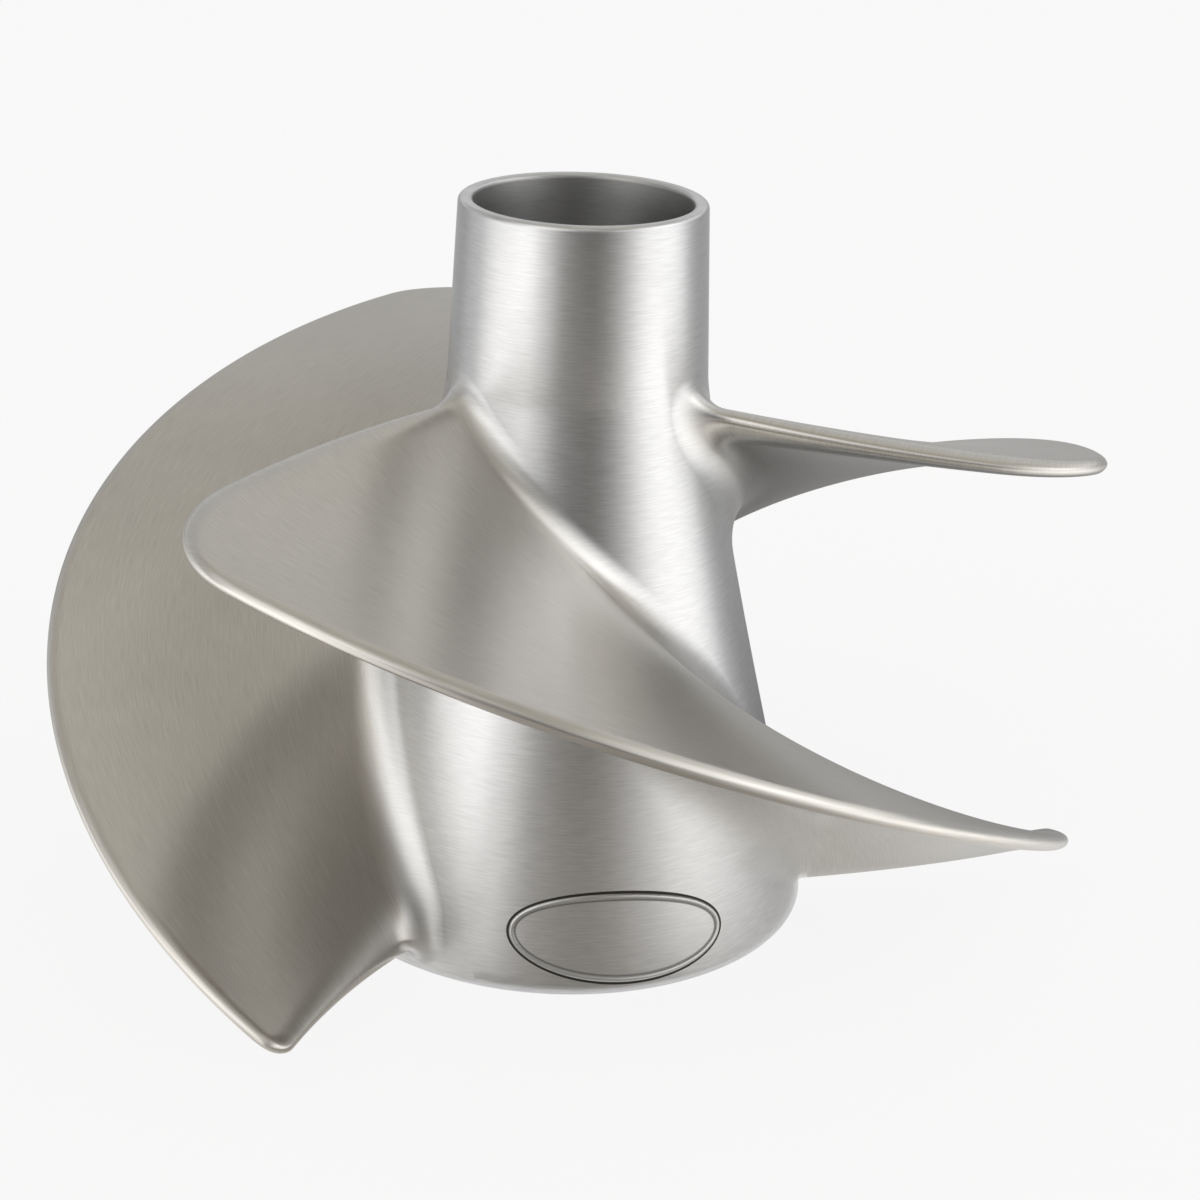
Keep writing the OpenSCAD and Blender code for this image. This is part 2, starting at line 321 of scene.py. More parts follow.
def sheet_point(turn, row):
    """Where a point of the flat sheet lies on the casting, its distance from the tip along the
    blade, and its share of the way from blade to hub. Row 0 is the middle of the tip's edge."""
    if row <= TIP_ROWS:
        angle = 90 * row / TIP_ROWS
        inside = TIP_NOSE * TIP_T * (1 - cos(angle))
        skin = SkinPoint(turn, 1 - inside / reach(turn), inside, sin(angle))
        return skin.point(), inside - TIP_T / 2 * (1 - sin(angle)), 0.0
    row -= TIP_ROWS
    edge = TIP_NOSE * TIP_T
    if row <= CORNER_ROWS:
        inside = mix(edge, LEAD_CORNER_R, (row / CORNER_ROWS) ** CORNER_EASE)
        return SkinPoint(turn, 1 - inside / reach(turn), inside).point(), inside, 0.0
    row -= CORNER_ROWS
    free = reach(turn) - fillet_at(turn)
    if row <= SPAN_ROWS:
        inside = mix(LEAD_CORNER_R, free, row / SPAN_ROWS)
        return SkinPoint(turn, 1 - inside / reach(turn), inside).point(), inside, 0.0
    row -= SPAN_ROWS
    if row <= FILLET_ROWS:
        share = row / FILLET_ROWS
        azimuth, z, r = fillet_point(turn, 90 * share)
        return place(r, azimuth, z), free + fillet_at(turn) * share * MAP_FILLET, share
    share = ((row - FILLET_ROWS) / HUB_ROWS) ** HUB_EASE
    azimuth, z, r = fillet_point(turn, 90)
    goal_azimuth, goal_z = border_point((2 * STATIONS * turn + BORDER_SHIFT) % (2 * STATIONS))
    azimuth, z = mix(azimuth, goal_azimuth, share), mix(z, goal_z, share)
    inside = free + fillet_at(turn) * MAP_FILLET + MAP_HUB * share
    return place(hub_r(z), azimuth, z), inside, 1.0


def finish_layers(bm):
    """The layers that steer the finish: the brushing's map along a blade, the share that is hub,
    and the share that is dull cast skin, which also paints shade."""
    floats = bm.verts.layers.float
    return bm.loops.layers.uv.new("brushing"), floats.new("hub_share"), floats.new("cast_skin_and_shade")


def wrap_blade_sheet(bm, uv_layer, hub_layer):
    """A flat sheet wrapped round one blade, over its fillets and out to the border on the hub."""
    made = bmesh.ops.create_grid(
        bm,
        x_segments=LOOP_STEPS,
        y_segments=SHEET_ROWS,
        size=0.5,
        matrix=Matrix.Translation((0.5, 0.5, 0)),
    )
    verts = made["verts"]
    brushed = {}
    for vert in verts:
        turn = round(vert.co.x * LOOP_STEPS) / LOOP_STEPS
        row = round(vert.co.y * SHEET_ROWS)
        where, inside, hub_share = sheet_point(turn, row)
        along = SkinPoint(turn, 1 - inside / MAP_SPAN, max(0.0, inside)).along_mm
        brushed[vert] = (along * MM, -inside * MM)
        vert.co = where
        vert[hub_layer] = hub_share
    for face in {face for vert in verts for face in vert.link_faces}:
        for loop in face.loops:
            loop[uv_layer].uv = brushed[loop.vert]
    return verts


def turn_profile(bm, profile, start_azimuth, hub_layer):
    """A profile of (radius, height) points turned once round the axis."""
    verts = [bm.verts.new(place(r, start_azimuth, z)) for r, z in profile]
    edges = [bm.edges.new(pair) for pair in zip(verts, verts[1:])]
    before = set(bm.verts) - set(verts)
    bmesh.ops.spin(
        bm,
        geom=verts + edges,
        cent=(0, 0, 0),
        axis=(0, 0, 1),
        angle=math.tau,
        steps=TURNED_STEPS,
        use_merge=True,
    )
    turned = [vert for vert in bm.verts if vert not in before]
    for vert in turned:
        vert[hub_layer] = 1.0
    return turned


def arc(centre_r, centre_z, radius, start, end, steps):
    """Points of an arc in the (radius, height) plane."""
    return [
        (
            centre_r + radius * cos(mix(start, end, k / steps)),
            centre_z + radius * sin(mix(start, end, k / steps)),
        )
        for k in range(steps + 1)
    ]


def line(start, end, steps):
    """Points at even shares of a line in the (radius, height) plane."""
    return [
        (mix(start[0], end[0], k / steps), mix(start[1], end[1], k / steps))
        for k in range(steps + 1)
    ]


def neck_profile():
    """Outside of the neck, over the front rim and down the socket to its floor."""
    shoulder_r, shoulder_z = hub_r(HUB_H - RIM_ROUND), HUB_H - RIM_ROUND
    outside = line((hub_r(NECK_SEAM_Z), NECK_SEAM_Z), (shoulder_r, shoulder_z), 6)
    rim = arc(shoulder_r - RIM_ROUND, shoulder_z, RIM_ROUND, 0, 90, 6)
    mouth_z = HUB_H - SOCKET_CHAMFER
    lip = arc(SOCKET_R + SOCKET_CHAMFER, mouth_z, SOCKET_CHAMFER, 90, 180, 6)
    corner_z = HUB_H - SOCKET_DEPTH + SOCKET_CORNER
    wall = line((SOCKET_R, mouth_z), (SOCKET_R, corner_z), 8)
    corner = arc(SOCKET_R - SOCKET_CORNER, corner_z, SOCKET_CORNER, 0, -90, 3)
    return outside[:-1] + rim + lip + wall[1:] + corner[1:]


def skirt_profile():
    """Rear rim, the hollow inside the skirt, and the boss down to the mouth of the thread."""
    rim = arc(hub_r(RIM_ROUND) - RIM_ROUND, RIM_ROUND, RIM_ROUND, 0, -90, 6)
    inner_lip = arc(hub_r(0) - SKIRT_WALL + SKIRT_LIP, SKIRT_LIP, SKIRT_LIP, -90, -180, 4)
    # The roof of the hollow is half an ellipse from the skirt's wall to the boss
    roof_h = (hub_r(HOLLOW_H) - SKIRT_WALL - BOSS_R) / 2
    spring_z = HOLLOW_H - roof_h
    wall_z = [mix(SKIRT_LIP, spring_z, k / 16) for k in range(1, 17)]
    wall = [(hub_r(z) - SKIRT_WALL, z) for z in wall_z]
    roof_w = (hub_r(spring_z) - SKIRT_WALL - BOSS_R) / 2
    roof = [
        (BOSS_R + roof_w + roof_w * cos(angle), spring_z + roof_h * sin(angle))
        for angle in range(15, 180, 15)
    ]
    edge_z = BOSS_RECESS + BOSS_ROUND
    boss_wall = line((BOSS_R, spring_z), (BOSS_R, edge_z), 10)
    boss_edge = arc(BOSS_R - BOSS_ROUND, edge_z, BOSS_ROUND, 0, -90, 4)
    mouth = [(THREAD_R + THREAD_CHAMFER, BOSS_RECESS), (THREAD_R, BOSS_RECESS + THREAD_CHAMFER)]
    return rim + inner_lip + wall + roof + boss_wall + boss_edge[1:] + mouth


def turned_ring(bm, r, z):
    """The edges of the turned ring at a radius and a height."""

    def on_ring(vert):
        return abs(vert.co.z - z) < NEAR and abs(vert.co.xy.length - r) < NEAR

    return [edge for edge in bm.edges if all(on_ring(vert) for vert in edge.verts)]


def extrude_loop(bm, edges):
    """A wall from a loop of edges. Returns the vertices and edges of its far side."""
    made = bmesh.ops.extrude_edge_only(bm, edges=edges)["geom"]
    verts = [item for item in made if isinstance(item, bmesh.types.BMVert)]
    fresh = set(verts)
    new_edges = [item for item in made if isinstance(item, bmesh.types.BMEdge)]
    return verts, [edge for edge in new_edges if fresh.issuperset(edge.verts)]


def draw_tube(bm, edges, start_z, end_z, rows):
    """A tube drawn along the axis from a loop of edges, in rows. Returns its vertices and the
    edges of its end."""
    tube = []
    for k in range(1, rows + 1):
        verts, edges = extrude_loop(bm, edges)
        for vert in verts:
            vert.co.z = mix(start_z, end_z, k / rows)
        tube += verts
    return tube, edges


def close_step(bm, edges):
    """The flat ring between two loops at one height."""
    bmesh.ops.triangle_fill(bm, use_beauty=True, edges=edges, normal=(0, 0, 1))


def azimuth_of(vert):
    """A vertex's azimuth round the axis."""
    return math.degrees(math.atan2(vert.co.x, -vert.co.y))


def spline_outline(bm, z):
    """The outline of the spline: straight sided teeth with small flats, as one loop of edges."""
    corners = len(SPLINE_TOOTH)
    made = bmesh.ops.create_circle(
        bm,
        segments=SPLINE_TEETH * corners,
        radius=SPLINE_R,
        matrix=Matrix.Translation((0, 0, z)),
    )["verts"]
    step = 360 / SPLINE_TEETH
    for vert in made:
        tooth, corner = divmod(round(azimuth_of(vert) / step * corners), corners)
        share, depth = SPLINE_TOOTH[corner]
        vert.co = place(SPLINE_R + SPLINE_TOOTH_H * depth, (tooth + share) * step, z)
    return list({edge for vert in made for edge in vert.link_edges})


def cut_spline(bm):
    """The splined drive bore below the socket's floor. Returns the edges of its lower end."""
    floor_z = HUB_H - SOCKET_DEPTH
    socket_edge = turned_ring(bm, SOCKET_R - SOCKET_CORNER, floor_z)
    outline = spline_outline(bm, floor_z)
    close_step(bm, socket_edge + outline)
    return draw_tube(bm, outline, floor_z, floor_z - SPLINE_LENGTH, SPLINE_ROWS)[1]


def cut_thread(bm, spline_end):
    """The shaft's thread, as one tube whose wall is pushed in along a helix."""
    low, high = BOSS_RECESS + THREAD_CHAMFER, HUB_H - SOCKET_DEPTH - SPLINE_LENGTH
    rows = round((high - low) / THREAD_PITCH * THREAD_ROWS_PER_PITCH)
    tube, thread_end = draw_tube(bm, turned_ring(bm, THREAD_R, low), low, high, rows)
    for vert in tube:
        phase = (vert.co.z / THREAD_PITCH + azimuth_of(vert) / 360) % 1
        flank = (THREAD_FOOT - abs(phase - 0.5)) / (THREAD_FOOT - THREAD_FLAT)
        crest = min(1.0, max(0.0, flank))
        run_in = min(1.0, (vert.co.z - low) / THREAD_PITCH, (high - vert.co.z) / THREAD_PITCH)
        vert.co.xy *= 1 - THREAD_H * crest * run_in / THREAD_R
    close_step(bm, thread_end + spline_end)


def make_object(bm, name, material):
    """The object of a finished bmesh, linked to the scene."""
    mesh = bpy.data.meshes.new(name)
    bm.to_mesh(mesh)
    bm.free()
    mesh.materials.append(material)
    made = bpy.data.objects.new(name, mesh)
    bpy.context.scene.collection.objects.link(made)
    return made


def finish_piece(bm, name, material, smooth_angle):
    """Welds, faces outwards, turns millimetres to metres and makes the piece's object."""
    bmesh.ops.remove_doubles(bm, verts=bm.verts[:], dist=WELD)
    bmesh.ops.recalc_face_normals(bm, faces=bm.faces[:])
    bmesh.ops.scale(bm, vec=(MM, MM, MM), verts=bm.verts[:])
    for face in bm.faces:
        face.smooth = True
    for edge in bm.edges:
        if edge.is_manifold and edge.calc_face_angle(0) > math.radians(smooth_angle):
            edge.smooth = False
    piece = make_object(bm, name, material)
    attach(piece, "root")
    return piece


def make_impeller(material):
    """The whole casting: three wrapped blades, the turned neck and skirt, and the bores."""
    bm = bmesh.new()
    uv_layer, hub_layer, skin_and_shade_layer = finish_layers(bm)
    turn_profile(bm, neck_profile(), FRONT_FROM, hub_layer)
    turn_profile(bm, skirt_profile(), REAR_FROM, hub_layer)
    spline_end = cut_spline(bm)
    cut_thread(bm, spline_end)
    blade = wrap_blade_sheet(bm, uv_layer, hub_layer)
    sheet = list({item for vert in blade for item in (vert, *vert.link_edges, *vert.link_faces)})
    for k in range(1, BLADE_COUNT):
        copy = bmesh.ops.duplicate(bm, geom=sheet)["geom"]
        bmesh.ops.rotate(
            bm,
            verts=[item for item in copy if isinstance(item, bmesh.types.BMVert)],
            cent=(0, 0, 0),
            matrix=Matrix.Rotation(math.radians(k * PITCH_ANGLE), 3, "Z"),
        )
    for vert in bm.verts:
        if vert.co.xy.length < BORES_R:
            vert[hub_layer] = 1.0
            vert[skin_and_shade_layer] = BORE_DULLNESS
    piece = finish_piece(bm, "impeller_casting", material, smooth_angle=40)
    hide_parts("impeller")


def on_plate(x, y, height):
    """The point on the hub x and y away from the plate's centre, at a height off the skin."""
    across = x * cos(PLATE_TILT) - y * sin(PLATE_TILT)
    up = x * sin(PLATE_TILT) + y * cos(PLATE_TILT)
    z = PLATE_Z + up
    azimuth = PLATE_AZIMUTH + math.degrees(across / hub_r(PLATE_Z))
    step = 0.1
    slope = (hub_r(z + step) - hub_r(z - step)) / (2 * step)
    normal = Vector((sin(azimuth), -cos(azimuth), -slope)).normalized()
    return place(hub_r(z), azimuth, z) + normal * height


def make_oval_plate(material):
    """A bare oval plate on the hub: a groove of dull cast skin, which the belt can't reach,
    painted dark as shade, a rounded rim with a line of painted shade along its inner foot, and a
    field brushed like the hub."""
    bm = bmesh.new()
    _, hub_layer, skin_and_shade_layer = finish_layers(bm)
    loop = bmesh.ops.create_circle(bm, segments=160, radius=1)["verts"]
    angles = {vert: math.atan2(vert.co.y, vert.co.x) for vert in loop}
    edges = bm.edges[:]
    for number, (inset, height, skin_and_shade) in enumerate(PLATE_RINGS):
        if number:
            last = set(loop)
            loop, edges = extrude_loop(bm, edges)
            for vert in loop:
                start = next(v for edge in vert.link_edges for v in edge.verts if v in last)
                angles[vert] = angles[start]
        for vert in loop:
            vert.co = on_plate(
                (PLATE_HALF_W - inset) * math.cos(angles[vert]),
                (PLATE_HALF_H - inset) * math.sin(angles[vert]),
                height,
            )
            # Dark cast skin, and painted shade in the groove and along the rim's foot
            vert[skin_and_shade_layer] = skin_and_shade
            vert[hub_layer] = 1.0
    middle = bmesh.ops.contextual_create(bm, geom=edges)["faces"]
    bmesh.ops.triangulate(bm, faces=middle)
    bmesh.ops.contextual_create(bm, geom=[edge for edge in bm.edges if edge.is_boundary])
    finish_piece(bm, "oval_plate", material, smooth_angle=50)


def linear(hex_code):
    """An sRGB hex colour as linear red, green, blue and alpha."""
    values = [int(hex_code[k : k + 2], 16) / 255 for k in (1, 3, 5)]
    return [v / 12.92 if v <= 0.04045 else ((v + 0.055) / 1.055) ** 2.4 for v in values] + [1.0]


def add(tree, kind, settings=None, **links):
    """Adds a node with its settings, and links or values for its inputs, each by its name or, as
    i0, i1 and so on, by its number."""
    made = tree.nodes.new(kind)
    for name, value in (settings or {}).items():
        setattr(made, name, value)
    for key, value in links.items():
        number = key[1:] if key[0] == "i" and key[1:].isdigit() else None
        socket = made.inputs[int(number)] if number else made.inputs[key.replace("_", " ")]
        if isinstance(value, bpy.types.NodeSocket):
            tree.links.new(value, socket)
        else:
            socket.default_value = value
    return made


COLOUR_MIX = {"data_type": "RGBA"}
COLOUR_MULTIPLY = {"data_type": "RGBA", "blend_type": "MULTIPLY"}
SMOOTHSTEP = {"interpolation_type": "SMOOTHSTEP"}
MULTIPLY = {"operation": "MULTIPLY"}


def new_tree(owner):
    """The empty node tree of a new material or world."""
    owner.use_nodes = True
    owner.node_tree.nodes.clear()
    return owner.node_tree


def brushed_stainless():
    """Cast stainless steel, ground and brushed with a fine belt: a satin grey whose highlights
    stretch across the brushing. The belt ran round the hub, and along each blade."""
    material = bpy.data.materials.new("brushed cast stainless")
    tree = new_tree(material)
    place_at = add(tree, "ShaderNodeTexCoord").outputs["Object"]
    map_at = add(tree, "ShaderNodeUVMap", {"uv_map": "brushing"}).outputs["UV"]
    hub = add(tree, "ShaderNodeAttribute", {"attribute_name": "hub_share"}).outputs["Fac"]

    # The belt's marks on real steel are about 0.05 mm wide, too fine to show, so they are drawn
    # 0.18 mm wide. They run some 20 times as far as they are wide.
    mark_w = 0.18 * MM
    along_scale = (0.04 / mark_w, 1 / mark_w, 1)
    along_blade = add(tree, "ShaderNodeMapping", Vector=map_at, Scale=along_scale).outputs[0]
    round_scale = (0.06 / mark_w, 0.06 / mark_w, 1 / mark_w)
    round_hub = add(tree, "ShaderNodeMapping", Vector=place_at, Scale=round_scale).outputs[0]
    grain = {"Scale": 1.0, "Detail": 2.0, "Roughness": 0.5}
    blade_marks = add(tree, "ShaderNodeTexNoise", Vector=along_blade, **grain).outputs["Fac"]
    hub_marks = add(tree, "ShaderNodeTexNoise", Vector=round_hub, **grain).outputs["Fac"]
    marks = add(tree, "ShaderNodeMix", i0=hub, i2=blade_marks, i3=hub_marks).outputs[0]

    # Broad patches where the belt pressed harder, some 25 mm across
    patch_grain = {**grain, "Scale": 1 / (25 * MM)}
    patches = add(tree, "ShaderNodeTexNoise", Vector=place_at, **patch_grain).outputs["Fac"]

    # The blades are a little warmer than the hub, and the bottom of each mark a little darker
    blade_grey, hub_grey = linear("#d1cec8"), linear("#d1d1d1")
    base = add(tree, "ShaderNodeMix", COLOUR_MIX, i0=hub, i6=blade_grey, i7=hub_grey).outputs[2]
    mark_depth = {"Value": marks, "From_Min": 0.3, "From_Max": 0.7}
    tone = add(tree, "ShaderNodeMapRange", To_Min=0.88, To_Max=1.03, **mark_depth).outputs[0]
    colour = add(tree, "ShaderNodeMix", COLOUR_MULTIPLY, i0=1.0, i6=base, i7=tone).outputs[2]
    worn = add(
        tree, "ShaderNodeMapRange",
        Value=patches, From_Min=0.35, From_Max=0.65, To_Min=0.95, To_Max=1.0,
    ).outputs[0]
    colour = add(tree, "ShaderNodeMix", COLOUR_MULTIPLY, i0=1.0, i6=colour, i7=worn).outputs[2]
    rough = add(tree, "ShaderNodeMapRange", To_Min=0.276, To_Max=0.3, **mark_depth).outputs[0]

    # Cast skin that no belt has reached is dull and dark. The same dark grey is painted shade in
    # the plate's groove and along its rim, and it darkens the bores
    skin_and_shade = add(tree, "ShaderNodeAttribute", {"attribute_name": "cast_skin_and_shade"}).outputs["Fac"]
    skin_and_shade_grey = linear("#4a4844")
    colour = add(tree, "ShaderNodeMix", COLOUR_MIX, i0=skin_and_shade, i6=colour, i7=skin_and_shade_grey).outputs[2]
    rough = add(tree, "ShaderNodeMix", i0=skin_and_shade, i2=rough, i3=0.6).outputs[0]
    mark_h = 0.02 * MM
    bump = add(tree, "ShaderNodeBump", Height=marks, Strength=0.025, Distance=mark_h).outputs[0]

    # The brushing's direction: round the axis on the hub, along the section on a blade
    parts = add(tree, "ShaderNodeSeparateXYZ", Vector=place_at).outputs
    turned = add(tree, "ShaderNodeMath", MULTIPLY, i0=parts["Y"], i1=-1.0).outputs[0]
    round_axis = add(tree, "ShaderNodeCombineXYZ", X=turned, Y=parts["X"], Z=0.0).outputs[0]
    normalize = {"operation": "NORMALIZE"}
    round_axis = add(tree, "ShaderNodeVectorMath", normalize, i0=round_axis).outputs[0]
    along_map = {"direction_type": "UV_MAP", "uv_map": "brushing"}
    along = add(tree, "ShaderNodeTangent", along_map).outputs[0]
    vector_mix = {"data_type": "VECTOR"}
    direction = add(tree, "ShaderNodeMix", vector_mix, i0=hub, i4=along, i5=round_axis).outputs[1]

    shader = add(
        tree,
        "ShaderNodeBsdfPrincipled",
        Base_Color=colour,
        Metallic=1.0,
        Roughness=rough,
        Anisotropic=0.7,
        Anisotropic_Rotation=0.25,
        Normal=bump,
        Tangent=direction,
    )
    add(tree, "ShaderNodeOutputMaterial", Surface=shader.outputs[0])
    return material


def pale_floor():
    """A matt white studio floor. Where it is seen it glows a little, so that the object's shadow
    on it stays faint."""
    material = bpy.data.materials.new("pale floor")
    tree = new_tree(material)
    matt = add(
        tree,
        "ShaderNodeBsdfPrincipled",
        Base_Color=linear("#f6f6f6"),
        Roughness=0.9,
        Specular_IOR_Level=0.0,
    ).outputs[0]
    glow = add(tree, "ShaderNodeEmission", Color=linear("#fbfbfb"), Strength=1.0).outputs[0]
    path = add(tree, "ShaderNodeLightPath").outputs
    either = {"operation": "MAXIMUM"}
    seen = add(
        tree, "ShaderNodeMath", either, i0=path["Is Camera Ray"], i1=path["Is Glossy Ray"]
    ).outputs[0]
    share = add(tree, "ShaderNodeMath", MULTIPLY, i0=seen, i1=0.91).outputs[0]
    surface = add(tree, "ShaderNodeMixShader", i0=share, i1=matt, i2=glow).outputs[0]
    add(tree, "ShaderNodeOutputMaterial", Surface=surface)
    return material


# The stage, in metres
FLOOR_R, FLOOR_DROP = 6.0, 0.0002
# The low reflector round the object: where it starts, where it turns up, and its outer edge
REFLECTOR_FOOT_R, REFLECTOR_FLAT_R = 0.039, 0.112
REFLECTOR_R, REFLECTOR_H, REFLECTOR_LIFT = 1.0, 0.34, 0.0005


def make_floor():
    """A pale matt floor, far wider than any view."""
    bm = bmesh.new()
    bmesh.ops.create_circle(bm, cap_ends=True, segments=96, radius=FLOOR_R)
    floor = make_object(bm, "floor", pale_floor())
    floor.location.z = -FLOOR_DROP


# Brightness of the studio round the object by azimuth, set until the steel picks up the light and
# dark bands that it should: low down, and on the walls
LOW_TONES = [
    (-180, 0.63), (-150, 0.47), (-128, 0.48), (-112, 0.70), (-98, 0.82), (-88, 1.14),
    (-76, 1.36), (-62, 1.48), (-50, 1.66), (-42, 1.60), (-34, 1.10), (-26, 0.80),
    (-19, 0.42), (-12, 0.20), (0, 0.10), (12, 0.06), (22, 0.14), (32, 0.36),
    (42, 0.70), (52, 1.15), (62, 1.46), (76, 1.56), (88, 1.62), (98, 1.36),
    (110, 0.72), (124, 0.49), (150, 0.46), (180, 0.63),
]
WALL_TONES = [
    (-180, 0.63), (-150, 0.55), (-125, 0.60), (-90, 0.55), (-72, 0.60), (-60, 1.00),
    (-50, 1.40), (-34, 1.80), (-22, 1.50), (-12, 0.95), (-2, 0.42), (12, 0.30),
    (24, 0.45), (36, 0.85), (48, 1.30), (62, 1.60), (80, 1.70), (100, 1.65),
    (118, 1.20), (138, 1.10), (155, 0.75), (168, 0.63), (180, 0.63),
]
BRIGHTEST = 1.8


def studio_tone(tree, direction, tones):
    """The studio's brightness in a direction from the object, as a share of the brightest."""
    parts = add(tree, "ShaderNodeSeparateXYZ", Vector=direction).outputs
    front = add(tree, "ShaderNodeMath", MULTIPLY, i0=parts["Y"], i1=-1.0).outputs[0]
    turn_to = {"operation": "ARCTAN2"}
    azimuth = add(tree, "ShaderNodeMath", turn_to, i0=parts["X"], i1=front).outputs[0]
    share = add(
        tree, "ShaderNodeMapRange", Value=azimuth, From_Min=-math.pi, From_Max=math.pi
    ).outputs[0]
    ramp = add(tree, "ShaderNodeValToRGB", Fac=share)
    stops = ramp.color_ramp.elements
    for angle, _ in tones[1:-1]:
        stops.new((angle + 180) / 360)
    for stop, (angle, tone) in zip(stops, tones):
        stop.position = (angle + 180) / 360
        stop.color = (tone / BRIGHTEST, tone / BRIGHTEST, tone / BRIGHTEST, 1)
    return ramp.outputs["Color"]


def studio_reflector():
    """What the steel sees low down: the studio's tones, which the object shades close to its foot,
    and the faint light of the pale floor in front."""
    material = bpy.data.materials.new("studio surround")
    tree = new_tree(material)
    place_at = add(tree, "ShaderNodeTexCoord").outputs["Object"]
    length = {"operation": "LENGTH"}
    out = add(tree, "ShaderNodeVectorMath", length, i0=place_at).outputs["Value"]
    lit = add(
        tree, "ShaderNodeMapRange", SMOOTHSTEP,
        Value=out, From_Min=REFLECTOR_FOOT_R, From_Max=0.2, To_Min=0.32, To_Max=1.0,
    ).outputs[0]
    near = add(
        tree, "ShaderNodeMapRange", SMOOTHSTEP,
        Value=out, From_Min=0.19, From_Max=0.34, To_Min=1.0, To_Max=0.06,
    ).outputs[0]
    depth = add(tree, "ShaderNodeSeparateXYZ", Vector=place_at).outputs["Y"]
    ahead = add(tree, "ShaderNodeMapRange", Value=depth, From_Min=0.03, From_Max=-0.06).outputs[0]
    near = add(tree, "ShaderNodeMath", MULTIPLY, i0=near, i1=ahead).outputs[0]
    scale, total = {"operation": "SCALE"}, {"operation": "ADD"}
    low = studio_tone(tree, place_at, LOW_TONES)
    tone = add(tree, "ShaderNodeVectorMath", scale, i0=low, Scale=lit).outputs[0]
    floor_light = linear("#76726c")[:3]
    fill = add(tree, "ShaderNodeVectorMath", scale, i0=floor_light, Scale=near).outputs[0]
    colour = add(tree, "ShaderNodeVectorMath", total, i0=tone, i1=fill).outputs[0]
    glow = add(tree, "ShaderNodeEmission", Color=colour, Strength=BRIGHTEST)
    add(tree, "ShaderNodeOutputMaterial", Surface=glow.outputs[0])
    return material


def make_surround():
    """The low reflector round the object, which only the metal sees. It lies flat under the
    blades, and then slopes up."""
    bm = bmesh.new()
    bmesh.ops.create_circle(bm, segments=96, radius=REFLECTOR_FOOT_R)
    edges = bm.edges[:]
    for r, z in ((REFLECTOR_FLAT_R, 0.0), (REFLECTOR_R, REFLECTOR_H)):
        verts, edges = extrude_loop(bm, edges)
        for vert in verts:
            vert.co = vert.co.xy.normalized().to_3d() * r + Vector((0, 0, z))
    bmesh.ops.translate(bm, vec=(0, 0, REFLECTOR_LIFT), verts=bm.verts[:])
    surround = make_object(bm, "surround", studio_reflector())
    surround.visible_camera = False
    surround.visible_diffuse = False
    surround.visible_shadow = False


# Area lamps: name, azimuth, elevation, width and height in metres, and power in watts
SOFTBOXES = [
    ("left softbox", -62, 45, 1.1, 1.1, 1.3),
    ("right softbox", 88, 42, 1.1, 1.1, 1.8),
    ("front softbox", -15, 55, 1.6, 0.7, 1.2),
    ("back softbox", 180, 60, 1.2, 1.2, 0.7),
]
SOFTBOX_DISTANCE = 1.8
SOFTBOX_TARGET = Vector((0, 0, 0.05))


def light_softbox(name, azimuth, elevation, width, height, power):
    """An area lamp that points at the middle of the impeller."""
    lamp = bpy.data.lights.new(name, "AREA")
    lamp.shape = "RECTANGLE"
    lamp.size, lamp.size_y = width, height
    lamp.energy = power
    holder = bpy.data.objects.new(name, lamp)
    bpy.context.scene.collection.objects.link(holder)
    back = place(cos(elevation), azimuth, sin(elevation))
    holder.location = SOFTBOX_TARGET + back * SOFTBOX_DISTANCE
    holder.rotation_euler = back.to_track_quat("Z", "Y").to_euler()


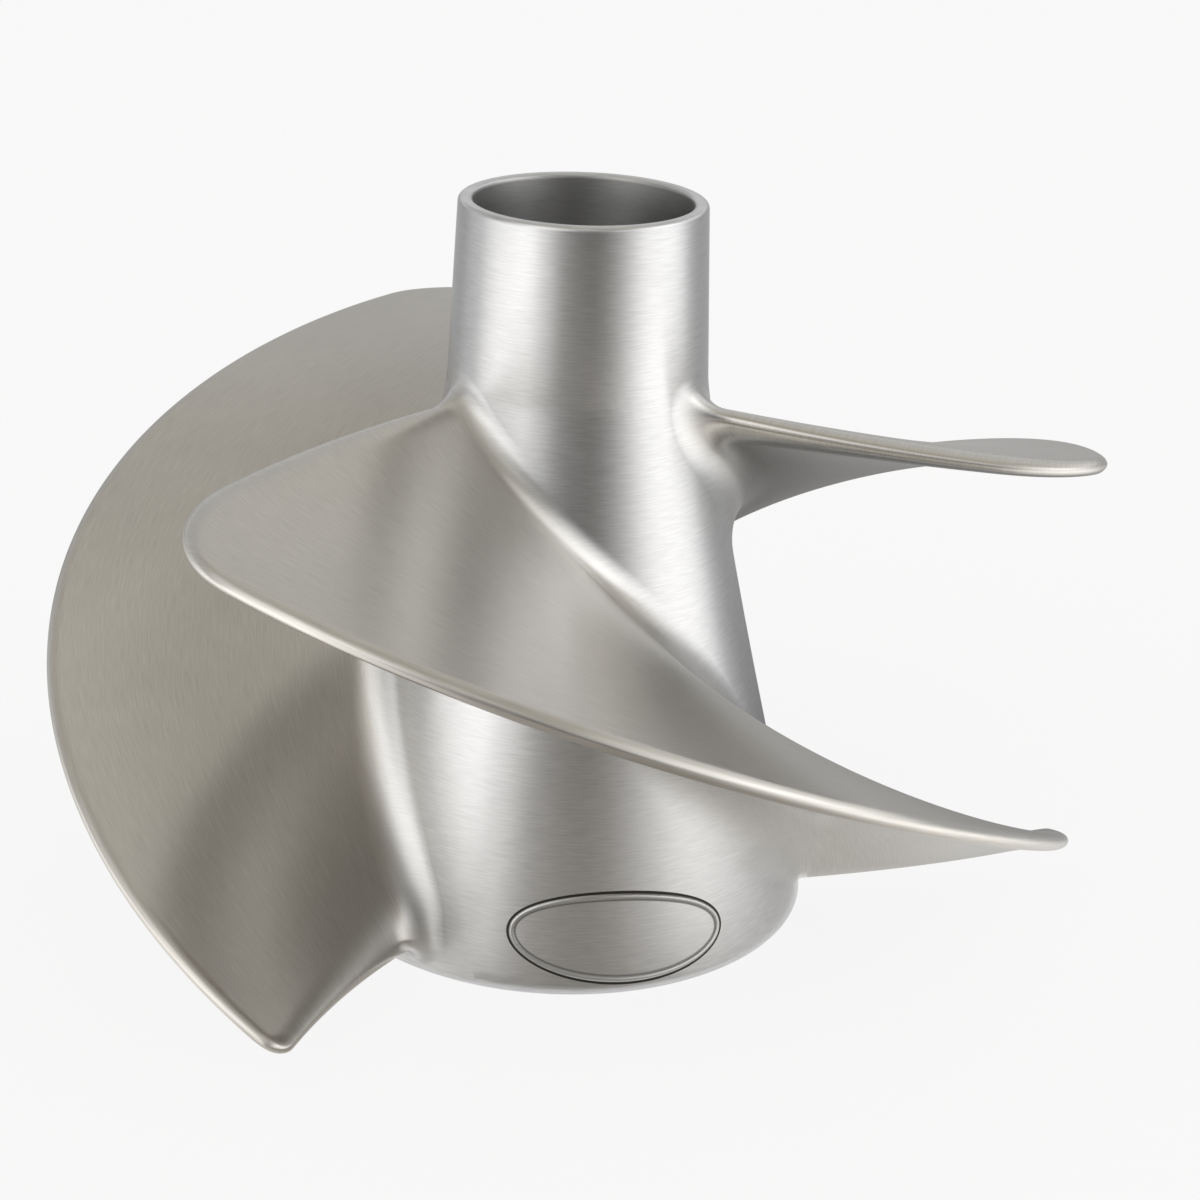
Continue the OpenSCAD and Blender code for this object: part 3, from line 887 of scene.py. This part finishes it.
def light_world():
    """The room beyond the stage: pale up to some way above the horizon, which is all that the
    camera sees, then walls with bright sides and a dark front, and a grey ceiling."""
    world = bpy.data.worlds.new("studio")
    bpy.context.scene.world = world
    tree = new_tree(world)
    direction = add(tree, "ShaderNodeTexCoord").outputs["Generated"]
    height = add(tree, "ShaderNodeSeparateXYZ", Vector=direction).outputs["Z"]
    walls = studio_tone(tree, direction, WALL_TONES)
    full = (BRIGHTEST, BRIGHTEST, BRIGHTEST, 1)
    walls = add(tree, "ShaderNodeMix", COLOUR_MULTIPLY, i0=1.0, i6=walls, i7=full).outputs[2]
    overhead = add(
        tree, "ShaderNodeMapRange", SMOOTHSTEP, Value=height, From_Min=0.5, From_Max=0.85
    ).outputs[0]
    ceiling, pale = linear("#bebbb3"), linear("#f7f7f7")
    room = add(tree, "ShaderNodeMix", COLOUR_MIX, i0=overhead, i6=walls, i7=ceiling).outputs[2]
    above = add(
        tree, "ShaderNodeMapRange", SMOOTHSTEP, Value=height, From_Min=0.26, From_Max=0.36
    ).outputs[0]
    seen = add(tree, "ShaderNodeMix", COLOUR_MIX, i0=above, i6=pale, i7=room).outputs[2]
    shader = add(tree, "ShaderNodeBackground", Color=seen, Strength=1.0)
    add(tree, "ShaderNodeOutputWorld", Surface=shader.outputs[0])


# Where the photograph was taken from, and its focal length in pixels of the 1200 pixel frame,
# taken to Blender's 36 mm sensor
CAMERA_DISTANCE = 370.41
CAMERA_TARGET = (4.512, 0.0, 46.45)
CAMERA_ELEVATION = 22.116
CAMERA_ROLL = 2.267
LENS = 2458.4 / 1200 * 36


def set_camera():
    """The photograph's camera, straight in front of the hub and a little above it."""
    data = bpy.data.cameras.new("camera")
    data.lens = LENS
    data.clip_start = 0.01
    holder = bpy.data.objects.new("camera", data)
    bpy.context.scene.collection.objects.link(holder)
    back = Vector((0, -cos(CAMERA_ELEVATION), sin(CAMERA_ELEVATION)))
    holder.location = (Vector(CAMERA_TARGET) + back * CAMERA_DISTANCE) * MM
    tilt = Matrix.Rotation(math.radians(90 - CAMERA_ELEVATION), 4, "X")
    roll = Matrix.Rotation(math.radians(CAMERA_ROLL), 4, "Z")
    holder.rotation_euler = (tilt @ roll).to_euler()
    bpy.context.scene.camera = holder


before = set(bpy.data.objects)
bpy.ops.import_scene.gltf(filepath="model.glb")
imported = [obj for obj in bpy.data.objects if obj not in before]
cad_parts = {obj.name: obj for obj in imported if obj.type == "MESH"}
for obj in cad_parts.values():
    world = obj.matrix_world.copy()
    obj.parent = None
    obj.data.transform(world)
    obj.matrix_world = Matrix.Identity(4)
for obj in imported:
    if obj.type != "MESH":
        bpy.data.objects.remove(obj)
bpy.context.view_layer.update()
steel = brushed_stainless()
make_impeller(steel)
make_oval_plate(steel)
make_floor()
make_surround()
for softbox in SOFTBOXES:
    light_softbox(*softbox)
light_world()
set_camera()
bpy.context.scene.view_settings.view_transform = "Standard"
